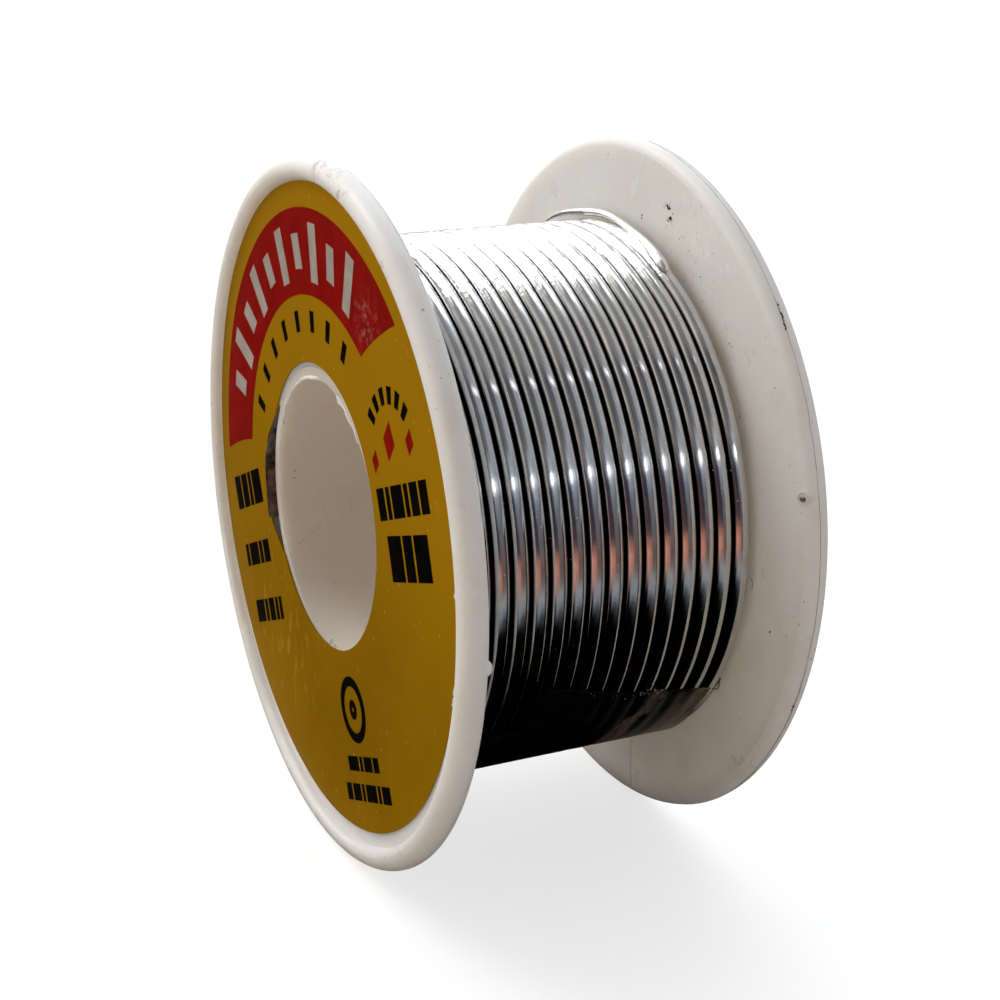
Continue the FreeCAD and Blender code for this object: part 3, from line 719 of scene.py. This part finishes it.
FILM_CUT = -30.5       # clock of the film's cut edge
FILM_FAR = -298.5      # clock, counted on round the back, where it lies so tight that it can't be told from the wire
FILM_BASE = 21.80
FILM_THICK = 0.03
FILM_REACH = 12.3      # the film runs from minus this y to this y
FILM_ROWS, FILM_COLS = 180, 200
MARGIN_TOP = -33.5     # clock
MARGIN_SPAN = 86.5
MARGIN_ROWS, MARGIN_COLS = 120, 9
film_fold = wobble(31, 9, 3.0, 14.0)
film_cross = wobble(32, 7, 0.35, 1.1)
film_edge = wobble(33, 9, 1.2, 5.0)


def film_radius(clock, y):
    """Outer face of the film: it dips between the turns and hangs loose below its cut edge."""
    turn = (OUTER_START - y) / PITCH - (clock - CLIMB_CLOCK) / 360
    dip = 0.5 - 0.5 * math.cos(2 * math.pi * turn)
    low = smooth_step(-40, -62, clock) * smooth_step(-165, -125, clock)
    sag = smooth_step(-66, -92, clock) * smooth_step(-165, -125, clock) * smooth_step(1, -8, y)
    a = math.radians(clock)
    folds = 0.5 + 0.5 * film_fold(a * 1.3 + 0.25 * y) * film_cross(y * 2 + 2 * a)
    rolled = 0.40 * smooth_step(11.5, 12.3, y)
    loose = low * (0.10 + 0.20 * folds) + sag * 0.45
    return FILM_BASE + FILM_THICK + loose - (1 - low) * (0.10 * dip + rolled) + 0.010 * film_fold(a * 2)


def film_cut(y):
    """Clock of the film's torn edge, which steps back near the front flange."""
    rise = 6.0 * smooth_step(4.5, -3.8, y)
    step = 13.0 * smooth_step(-4.0, -4.8, y)
    slope = 0.62 * max(0.0, y - 4.8)
    return FILM_CUT - 0.4 + rise - step - slope + 0.30 * film_edge(y)


def shell(name, rows, cols, outer, thickness):
    """A closed thin shell. outer(i, j) gives a point, and the inner face lies closer to the axis."""
    points = []
    for side in (0, 1):
        for i in range(rows):
            for j in range(cols):
                p = outer(i, j)
                if side:
                    r = math.hypot(p[0], p[2])
                    p = np.array([p[0] * (r - thickness) / r, p[1], p[2] * (r - thickness) / r])
                points.append(p)
    return mesh_object(name, points, plate_faces(rows, cols))


def film_point(i, j):
    y = -FILM_REACH + 2 * FILM_REACH * j / (FILM_COLS - 1)
    cut = film_cut(y)
    clock = cut + (FILM_FAR - cut) * i / (FILM_ROWS - 1)
    return polar(film_radius(clock, y), clock, y)


def add(obj, material):
    give(obj, material)
    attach(obj, BODY)
    return obj


film = add(shell("clear_film_wrap", FILM_ROWS, FILM_COLS, film_point, FILM_THICK), FILM)
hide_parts("clear_film")

# below the cut edge the film runs on past the last turn to the rear flange
margin_a = wobble(35, 8, 2.0, 8.0)
margin_b = wobble(36, 8, 5.0, 16.0)


def margin_point(i, j):
    clock = MARGIN_TOP - MARGIN_SPAN * i / (MARGIN_ROWS - 1)
    a = math.radians(clock)
    s = j / (MARGIN_COLS - 1)
    r0, y0 = 21.45 + 0.35 * smooth_step(MARGIN_TOP, -40, clock), 12.05
    outward = 0.35 * smooth_step(-50, -64, clock) + 0.70 * smooth_step(-62, -80, clock)
    r1, y1 = 21.45 + outward + 0.06 * margin_a(a), 12.545
    r = r0 + (r1 - r0) * s + 0.04 * margin_b(a) * math.sin(math.pi * s)
    return polar(r, clock, y0 + (y1 - y0) * s)


add(shell("clear_film_margin", MARGIN_ROWS, MARGIN_COLS, margin_point, FILM_THICK), FILM_MARGIN)

# the bunched upper edge of the film, a crumpled bead that lifts off the last turn toward the back
bunch_r = wobble(41, 9, 6.0, 24.0)
bunch_t = wobble(42, 9, 8.0, 30.0)
bunch_path, bunch_size = [], []
for k in range(170):
    t = k / 169
    clock = 62.5 + 62.0 * t
    a = math.radians(clock)
    lifted = 0.30 * smooth_step(78, 98, clock) + 1.05 * smooth_step(96, 126, clock)
    ends = math.sqrt(smooth_step(-0.015, 0.03, t)) * (1 - 0.8 * smooth_step(0.72, 1, t))
    size = (0.42 - 0.12 * smooth_step(0.05, 0.3, t)) * ends
    aside = 11.02 + 0.62 * smooth_step(62, 92, clock) + 0.28 * smooth_step(90, 124, clock)
    bunch_path.append(polar(21.95 + lifted + 0.08 * bunch_r(a), clock, aside + 0.07 * bunch_t(a)))
    bunch_size.append((size * (1 + 0.35 * bunch_t(a * 1.3)), size * (1.05 + 0.32 * bunch_r(a * 1.7))))
bunch = tube("clear_film_bunched_edge", bunch_path, lambda i: bunch_size[i], 16, cap_bulge=0.12)
add(bunch, FILM_BUNCH)

# a loop of torn film and crumbs at the cut edge
knots = ((21.95, -34.2, 10.3), (21.9, -34.4, 11.0), (21.75, -35.6, 11.7), (21.75, -36.4, 12.42),
         (21.72, -36.0, 12.50), (21.46, -34.5, 12.50), (21.30, -33.4, 12.35), (21.42, -31.8, 12.0))
loop = curve_through([polar(*knot) for knot in knots], 8)
add(tube("clear_film_loop", loop, lambda i: (0.04, 0.075), 8), FILM_TORN)
grains = []
for k in range(26):
    y = rng.choice((rng.uniform(4.6, 7.0), rng.uniform(-3.0, 11.5)))
    where = polar(21.92 + rng.uniform(-0.02, 0.04), film_cut(y) + rng.uniform(-0.9, 0.5), y)
    grains.append((where, rng.uniform(0.03, 0.07)))
for y, clock, size in ((5.9, -30.8, 0.13), (6.3, -32.0, 0.17), (6.6, -31.3, 0.10),
                       (5.2, -30.3, 0.08), (9.6, -31.6, 0.10), (3.4, -31.8, 0.07)):
    grains.append((polar(21.98, clock, y), size))
add(lumps("clear_film_crumbs", grains, 43), CRUMBS)

# ------------ marks of the moulding and of use

BORE_WALL = 11.10
BORE_END = -13.725
REAR_RIM = 28.49       # radius of the rear rim's crest, less the thickness of its marks

# the ragged end of the bore tube, at the front
torn_a = wobble(51, 9, 9.0, 40.0)
torn_b = wobble(52, 9, 20.0, 70.0)
path, sizes, grains = [], [], []
for k in range(260):
    clock = 46.0 + 106.0 * k / 259
    a = math.radians(clock)
    depth = -0.03 + 0.30 * smooth_step(66, 80, clock) * smooth_step(100, 90, clock)
    ends = smooth_step(46, 56, clock) * smooth_step(152, 138, clock)
    heavy = smooth_step(60, 80, clock) * smooth_step(125, 108, clock) + 0.5 * smooth_step(128, 136, clock)
    y = BORE_END + depth + 0.10 * torn_a(a)
    path.append(polar(BORE_WALL - 0.05 * torn_b(a + 2), clock, y))
    sizes.append((0.08 + 0.09 * heavy, (0.07 + 0.12 * heavy + 0.10 * abs(torn_b(a))) * ends + 0.01))
    if heavy > 0.2 and k % 3 == 0:
        grains.append((polar(BORE_WALL - 0.04, clock, y + rng.uniform(-0.12, 0.16)), rng.uniform(0.07, 0.17)))
add(tube("bore_torn_edge", path, lambda i: sizes[i], 10), TORN)
add(lumps("bore_torn_burrs", grains, 54), TORN)
grains = []
for k in range(34):
    clock = rng.uniform(-96, -60)
    grains.append((polar(BORE_WALL - 0.02, clock, -13.55 + rng.uniform(-0.10, 0.28)), rng.uniform(0.05, 0.15)))
add(lumps("bore_lower_fuzz", grains, 53), TORN)

# small slanted nibs on the crest of the front rim
grains = []
for clock in (5.4, -9.7, -11.7):
    for k in range(7):
        s = k / 6
        where = polar(26.98 - 0.48 * s, clock + 0.5 * (s - 0.5), -14.58 + 0.30 * s)
        grains.append((where, 0.15 - 0.05 * abs(s - 0.4)))
add(lumps("front_rim_nibs", grains, 55), WHITE)

# the mould's parting line round the rear rim, uneven, its grey-brown partly grime and partly painted shade of its step
line_a = wobble(61, 12, 20.0, 90.0)
line_b = wobble(62, 9, 3.0, 14.0)
path, sizes = [], []
for k in range(420):
    clock = 84.0 - 168.0 * k / 419
    a = math.radians(clock)
    weight = 0.35 + 0.65 * smooth_step(-2, -22, clock) * smooth_step(-64, -50, clock) + 0.3 * smooth_step(48, 60, clock)
    low = smooth_step(4, -12, clock)
    path.append(polar(REAR_RIM, clock, 13.43 + 0.05 * line_a(a) + (0.04 + 0.10 * low) * line_b(a)))
    uneven = 0.14 * line_a(a * 1.4 + 2) ** 2 + 0.03 * abs(line_b(a * 2))
    sizes.append((0.03, 0.018 + 0.035 * low + weight * uneven))
add(tube("rear_rim_mould_line", path, lambda i: sizes[i], 8), MOULD_LINE_SHADE_AND_GRIME)
grains = []
for k in range(16):
    clock = 36.8 + 4.2 * k / 15
    grains.append((polar(REAR_RIM, clock, 13.44 + rng.uniform(-0.06, 0.06)), rng.uniform(0.06, 0.13)))
for clock, size in ((-22.7, 0.16), (-22.2, 0.10), (-23.4, 0.10), (-45.0, 0.12), (-45.8, 0.09)):
    grains.append((polar(28.46, clock, 13.40), size))
add(lumps("rear_rim_flecks", grains, 63), BURNT)

# the crater in the rear flange's gate nub, brown in its lower half
GATE_CLOCK, GATE_LEAN = 12.0, math.radians(20)
radial = polar(1.0, GATE_CLOCK, 0.0)
rise = polar(1.0, GATE_CLOCK + 90, 0.0)
facing = math.sin(GATE_LEAN) * radial - np.array([0, math.cos(GATE_LEAN), 0])
beside = math.cos(GATE_LEAN) * radial + np.array([0, math.sin(GATE_LEAN), 0])
nub = polar(27.82, GATE_CLOCK, 12.955)
ring = []
for k in range(25):
    a = 2 * math.pi * k / 24
    ring.append(nub + 0.56 * facing + 0.44 * (math.cos(a) * beside + math.sin(a) * rise))
add(tube("rear_gate_crater", ring, lambda i: (0.13, 0.13), 8), CRATER_WHITE)
grains = [(nub + 0.62 * facing + across * beside - down * rise, size) for across, down, size in (
    (-0.17, 0.06, 0.11), (-0.07, 0.15, 0.13), (0.05, 0.08, 0.13), (0.13, 0.16, 0.12), (0.18, 0.05, 0.10))]
add(lumps("rear_gate_brown_grains", grains, 67), CRATER_BROWN)

# a hair, a scratch and flecks on the inner face of the rear flange
FACE = 12.56
hair = [(21.05, FACE, -2.35), (21.30, FACE, -2.40), (21.48, FACE, -2.72), (21.42, FACE, -3.15)]
add(tube("rear_flange_hair", curve_through(hair, 6), lambda i: (0.022, 0.022), 6), BURNT)
scratch = [(4.21, FACE, -23.1), (4.30, FACE, -24.9), (4.33, FACE, -26.4), (4.46, FACE, -27.4)]
add(tube("rear_flange_scratch", curve_through(scratch, 6), lambda i: (0.018, 0.03), 6), MOULD_LINE_SHADE_AND_GRIME)
grains = [(np.array((x, FACE, z)), size) for x, z, size in (
    (24.02, -5.7, 0.10), (7.5, 23.9, 0.16), (7.75, 23.75, 0.14), (7.95, 23.0, 0.17), (7.7, 22.75, 0.10),
    (8.3, 23.4, 0.07), (3.6, 22.4, 0.09), (3.65, 22.65, 0.09), (11.2, 20.6, 0.06), (12.6, 19.2, 0.07),
    (13.1, 17.4, 0.05), (16.9, 14.9, 0.06), (17.3, 14.7, 0.05), (9.4, 21.6, 0.05))]
add(lumps("rear_flange_flecks", grains, 65), BURNT)

# ------------ stage

FLOOR_Z = -28.5
FLOOR_REACH = 2500     # from the middle to each side
BACKDROP = 200         # height of the backdrop
corners = [(a * FLOOR_REACH, b * FLOOR_REACH) for a, b in ((-1, -1), (1, -1), (1, 1), (-1, 1))]
floor = mesh_object("floor", [(a, b, FLOOR_Z) for a, b in corners], [(0, 1, 2, 3)])
n = Nodes("floor_paper")
rays = n.add("LightPath").outputs
seen = n.math("MAXIMUM", rays["Is Camera Ray"], n.math("MAXIMUM", rays["Is Glossy Ray"], rays["Is Transmission Ray"]))
# what the floor throws back onto the spool is a little warmer than what the camera sees
shade = n.mix(rays["Is Camera Ray"], (0.55, 0.485, 0.42), (0.46, 0.46, 0.46))
paper = n.principled(Base__Color=shade, Roughness=0.9, Emission__Color=(0.70, 0.70, 0.70, 1))
n.link(seen, paper, "Emission Strength")
give(floor, n.owner)

# a low backdrop at the floor's far edge, so that views from the other sides end in white too
backdrop = mesh_object("backdrop", [(a, b, z) for z in (FLOOR_Z, FLOOR_Z + BACKDROP) for a, b in corners],
                       [(j, (j + 1) % 4, (j + 1) % 4 + 4, j + 4) for j in range(4)], smooth=False)
give(backdrop, n.owner)
backdrop.visible_diffuse = False
backdrop.visible_shadow = False

# What the bright wire mirrors below the horizon: a dark cloth round the spool with a salmon and a pale blue
# reflection in it. It lies on the floor, ends at the backdrop's top, and is seen by reflections only.
FLAG_SIDES = 72
flag_points, radii = [], (0.2, 6, 15, 33, 60, 100, 200, 500, 1500, 2440, 2450)
for radius in radii:
    for j in range(FLAG_SIDES):
        a = 2 * math.pi * j / FLAG_SIDES
        up = BACKDROP if radius == radii[-1] and math.cos(a) > -0.15 else 0.01
        flag_points.append((radius * math.cos(a), radius * math.sin(a), FLOOR_Z + up))
flag = mesh_object("low_flag", flag_points, grid_faces(len(radii), FLAG_SIDES, wrap_cols=True))


def by_angle(n, angle, span, *stops):
    """A ramp over an angle from 0 to span degrees. Each stop is (angle, red, green, blue)."""
    return n.ramp(n.grey(angle, 0.0, span), [(a / span, colour) for a, *colour in stops])


DARK = (0.0005, 0.0005, 0.0005)
VIEWED_X = 0.021       # the side of the winding that the photo shows, from which the angles below are taken
CLOTH_DROP = 0.0275    # how far below the axis the cloth lies
n = Nodes("flag_cloth")
x, y, _ = n.add("SeparateXYZ", i0=n.position()).outputs
x = n.minus(x, VIEWED_X)
away = n.math("SQRT", n.plus(n.times(x, x), n.times(y, y)))
below = n.times(n.math("ARCTAN2", CLOTH_DROP, away), DEGREES)
azimuth = n.times(n.math("ARCTAN2", y, x), DEGREES)
cloth = by_angle(n, below, 45, (0, 0.105, 0.052, 0.047), (7, 0.09, 0.05, 0.05), (10, 0.24, 0.11, 0.09),
                 (13.5, 0.78, 0.33, 0.225), (19, 0.70, 0.31, 0.22), (23, 0.42, 0.23, 0.18), (27, 0.12, 0.07, 0.06),
                 (30, *DARK))
middle = by_angle(n, below, 45, (0, 0.045, 0.040, 0.055), (6, 0.07, 0.055, 0.07), (9.5, 0.40, 0.18, 0.14),
                  (13.5, 0.60, 0.255, 0.18), (18, 0.50, 0.235, 0.18), (21, 0.38, 0.27, 0.24), (25, 0.33, 0.32, 0.32),
                  (30, 0.26, 0.30, 0.34), (34, 0.09, 0.10, 0.12), (38, *DARK))
right = by_angle(n, below, 45, (0, 0.17, 0.17, 0.18), (4, 0.155, 0.14, 0.145), (9, 0.19, 0.135, 0.12),
                 (14, 0.17, 0.11, 0.095), (19, 0.22, 0.17, 0.155), (24, 0.33, 0.34, 0.35), (29, 0.25, 0.29, 0.32),
                 (34, 0.07, 0.075, 0.08), (40, 0.012, 0.012, 0.012), (45, *DARK))
far = by_angle(n, below, 45, (0.7, 0.40, 0.42, 0.45), (1.2, 0.035, 0.032, 0.032), (10, 0.035, 0.03, 0.028),
               (20, 0.04, 0.036, 0.036), (27, 0.018, 0.018, 0.018), (36, *DARK))
cloth = n.mix(n.smooth(azimuth, -50, -32), cloth, middle)
cloth = n.mix(n.smooth(azimuth, -20, 4), cloth, right)
cloth = n.mix(n.smooth(azimuth, 34, 60), cloth, far)
cloth = n.mix(n.math("MAXIMUM", n.smooth(azimuth, 90, 110), n.smooth(azimuth, -100, -120)), cloth, DARK)
n.principled(Base__Color=(0, 0, 0, 1), Roughness=1.0, Specular__IOR__Level=0.0,
             Emission__Color=cloth, Emission__Strength=1.0)
give(flag, n.owner)
for kind in ("camera", "diffuse", "shadow", "transmission", "volume_scatter"):
    setattr(flag, "visible_" + kind, False)

# The world: a soft light behind the spool, and in front of it the grey walls, dark furniture and two pale strips
# that the bright wire mirrors.
world = Nodes("studio", world=True)
direction = world.add("TexCoord").outputs["Generated"]
x, y, z = world.add("SeparateXYZ", i0=direction).outputs
azimuth = world.times(world.math("ARCTAN2", y, x), DEGREES)
height = world.times(world.math("ARCSINE", z), DEGREES)
far_left = by_angle(world, height, 90, (0, 1.35, 1.25, 1.12), (20, 1.20, 1.12, 1.01), (31, 0.72, 0.68, 0.62),
                    (42, 0.70, 0.66, 0.60), (50, 0.70, 0.67, 0.61), (58, 0.54, 0.52, 0.48), (66, 0.40, 0.40, 0.385),
                    (76, 0.30, 0.30, 0.31), (90, 0.32, 0.32, 0.32))
left = by_angle(world, height, 90, (0, 0.07, 0.036, 0.035), (8, 0.09, 0.065, 0.07), (14, 0.09, 0.093, 0.10),
                (18, 0.28, 0.22, 0.20), (30, 0.31, 0.275, 0.24), (38, 0.23, 0.21, 0.19), (46, 0.15, 0.145, 0.155),
                (54, 0.22, 0.205, 0.195), (62, 0.27, 0.255, 0.23), (72, 0.245, 0.24, 0.235), (90, 0.31, 0.31, 0.31))
near_left = by_angle(world, height, 90, (0, 0.036, 0.026, 0.036), (10, 0.045, 0.042, 0.065), (14, 0.062, 0.068, 0.09),
                     (17, 0.18, 0.18, 0.20), (26, 0.20, 0.185, 0.185), (33, 0.125, 0.12, 0.12),
                     (42, 0.12, 0.118, 0.118), (49, 0.14, 0.14, 0.145), (56, 0.072, 0.070, 0.092),
                     (61, 0.15, 0.145, 0.15), (67, 0.25, 0.24, 0.235), (90, 0.30, 0.30, 0.30))
middle = by_angle(world, height, 90, (0, 0.16, 0.16, 0.18), (8, 0.19, 0.20, 0.235), (14, 0.28, 0.33, 0.40),
                  (17, 0.45, 0.50, 0.58), (27, 0.45, 0.50, 0.55), (30, 0.34, 0.37, 0.40), (35, 0.17, 0.178, 0.19),
                  (45, 0.145, 0.15, 0.155), (54, 0.115, 0.12, 0.142), (60, 0.16, 0.16, 0.18), (65, 0.25, 0.25, 0.255),
                  (72, 0.215, 0.21, 0.205), (90, 0.26, 0.26, 0.26))
right = by_angle(world, height, 90, (0, 0.12, 0.12, 0.13), (5, 0.13, 0.14, 0.16), (9, 0.20, 0.22, 0.255),
                 (14, 0.37, 0.42, 0.49), (20, 0.36, 0.40, 0.46), (30, 0.41, 0.44, 0.48), (40, 0.37, 0.40, 0.44),
                 (50, 0.40, 0.42, 0.45), (58, 0.37, 0.37, 0.38), (66, 0.275, 0.275, 0.275), (90, 0.32, 0.32, 0.325))
far_right = by_angle(world, height, 90, (0, 0.40, 0.42, 0.45), (26, 0.50, 0.53, 0.55), (40, 0.48, 0.49, 0.50),
                     (60, 0.58, 0.60, 0.61), (70, 0.48, 0.49, 0.50), (90, 0.34, 0.34, 0.345))
sky = world.mix(world.smooth(azimuth, -92, -60), far_left, left)
sky = world.mix(world.smooth(azimuth, -58, -38), sky, near_left)
sky = world.mix(world.smooth(azimuth, -25, -6), sky, middle)
sky = world.mix(world.smooth(azimuth, 8, 42), sky, right)
sky = world.mix(world.smooth(azimuth, 68, 92), sky, far_right)
# the soft light behind, wide from 42 degrees up and narrower below
upper = world.math("MAXIMUM", world.smooth(azimuth, 98, 122), world.smooth(azimuth, -115, -140))
upper = world.times(upper, world.smooth(height, 28, 42))
lower = world.math("MAXIMUM", world.smooth(azimuth, 132, 152), world.smooth(azimuth, -128, -148))
lower = world.times(lower, world.smooth(height, 3, 15))
behind = world.times(world.math("MAXIMUM", upper, lower), world.smooth(height, 78, 67))
soft = world.mix(world.smooth(y, -0.3, 0.3), (1.80, 1.73, 1.63), (2.40, 2.48, 2.60))
sky = world.mix(behind, sky, soft)
# a window at the back on the left, which shines over the bore's edge onto its lower wall
aim = world.add("VectorMath", _operation="DOT_PRODUCT", i0=direction, i1=(-0.61, -0.448, 0.654))
pane = world.smooth(aim.outputs["Value"], math.cos(math.radians(17)), math.cos(math.radians(10)))
sky = world.mix(pane, sky, (5.5, 5.6, 5.7))
# two pale strips, each along its own arch over the azimuth, with its power at a few azimuths
STRIP_FROM, STRIP_TO, STRIP_PEAK = -60.0, 100.0, 4
for crown, crown_at, fall, reach, tone, stops in (
        (21.0, 4.0, 0.0030, 3.3, (1.0, 1.0, 1.0),
         ((-46, 0.0), (-30, 0.16), (-15, 0.9), (-2, 2.4), (10, 2.4), (22, 0.7), (60, 0.25), (84, 0.0))),
        (59.0, 13.0, 0.00545, 2.4, (0.97, 0.98, 1.03),
         ((8, 0.0), (26, 0.65), (45, 1.0), (62, 1.7), (88, 0.8), (99, 0.0)))):
    off = world.minus(azimuth, crown_at)
    line = world.minus(crown, world.times(world.times(off, off), fall))
    strip = world.smooth(world.math("ABSOLUTE", world.minus(height, line)), reach, reach * 0.25)
    stops = [((a - STRIP_FROM) / (STRIP_TO - STRIP_FROM), (v / STRIP_PEAK,) * 3) for a, v in stops]
    power = world.ramp(world.grey(azimuth, STRIP_FROM, STRIP_TO), stops)
    lamp = world.mix(1.0, world.mix(strip, (0, 0, 0), tuple(STRIP_PEAK * c for c in tone)), power, "MULTIPLY")
    sky = world.mix(1.0, sky, lamp, "ADD")
background = world.add("Background", Color=sky, Strength=1.0)
world_out = world.add("OutputWorld")
world.tree.links.new(background.outputs[0], world_out.inputs[0])
bpy.context.scene.world = world.owner

bpy.context.scene.view_settings.view_transform = "Standard"

# ------------ camera

camera = bpy.data.objects.new("camera", bpy.data.cameras.new("camera"))
bpy.context.scene.collection.objects.link(camera)
camera.location = (0.1288535, -0.0612119, 0.0452531)
camera.rotation_euler = [math.radians(a) for a in (72.1297933, 0.6053719, 66.4826453)]
camera.data.lens = 64.991
camera.data.sensor_width = 36
camera.data.shift_x = 0.0824
camera.data.shift_y = 0.0023
camera.data.clip_start = 0.005
camera.data.clip_end = 20
bpy.context.scene.camera = camera
